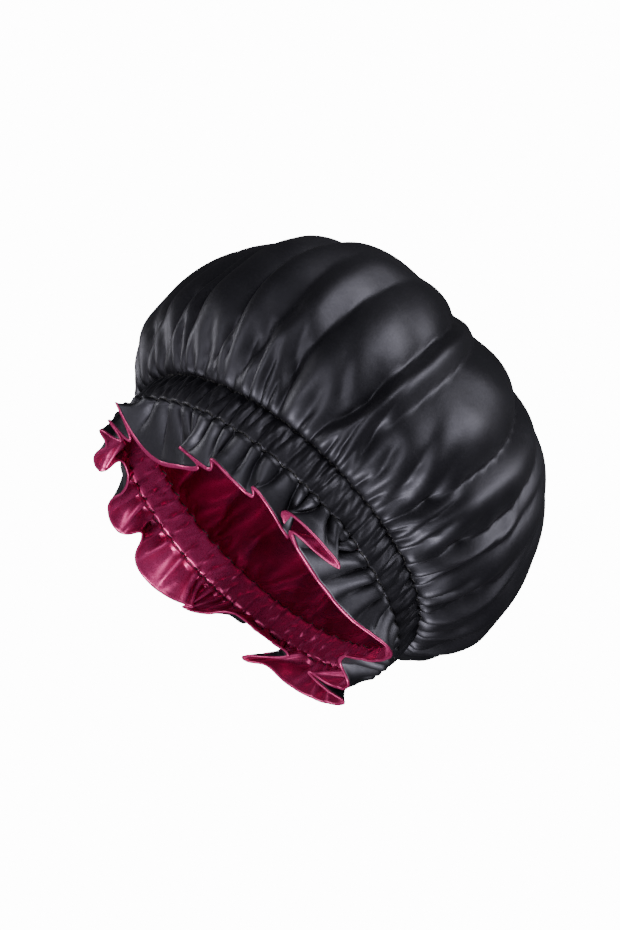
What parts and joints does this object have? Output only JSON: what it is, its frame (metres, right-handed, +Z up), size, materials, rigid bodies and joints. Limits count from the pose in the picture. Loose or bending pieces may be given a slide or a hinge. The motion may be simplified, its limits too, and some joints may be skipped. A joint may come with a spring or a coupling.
{
  "type": "sleep bonnet",
  "caption": "Reversible two-layer satin sleep bonnet with a puffed round crown, a gathered elastic band and a fluted ruffle edge.",
  "frame": {"origin": "centre of the elastic band, on the bonnet's middle line, where the head goes in", "axes": "+Z up out of the crown, -Y the front, +X the wearer's left"},
  "size_m": [0.2462, 0.2462, 0.1764],
  "materials": {
    "black_satin": "lustrous black satin",
    "raspberry_satin": "lustrous raspberry satin",
    "elastic_webbing": "matt woven elastic"
  },
  "bodies": {
    "root": {"crown_shell": "black_satin", "crown_lining": "raspberry_satin", "band_shell": "black_satin", "band_lining": "raspberry_satin", "ruffle_shell": "black_satin", "ruffle_lining": "raspberry_satin", "elastic": "elastic_webbing"}
  },
  "joints": []
}
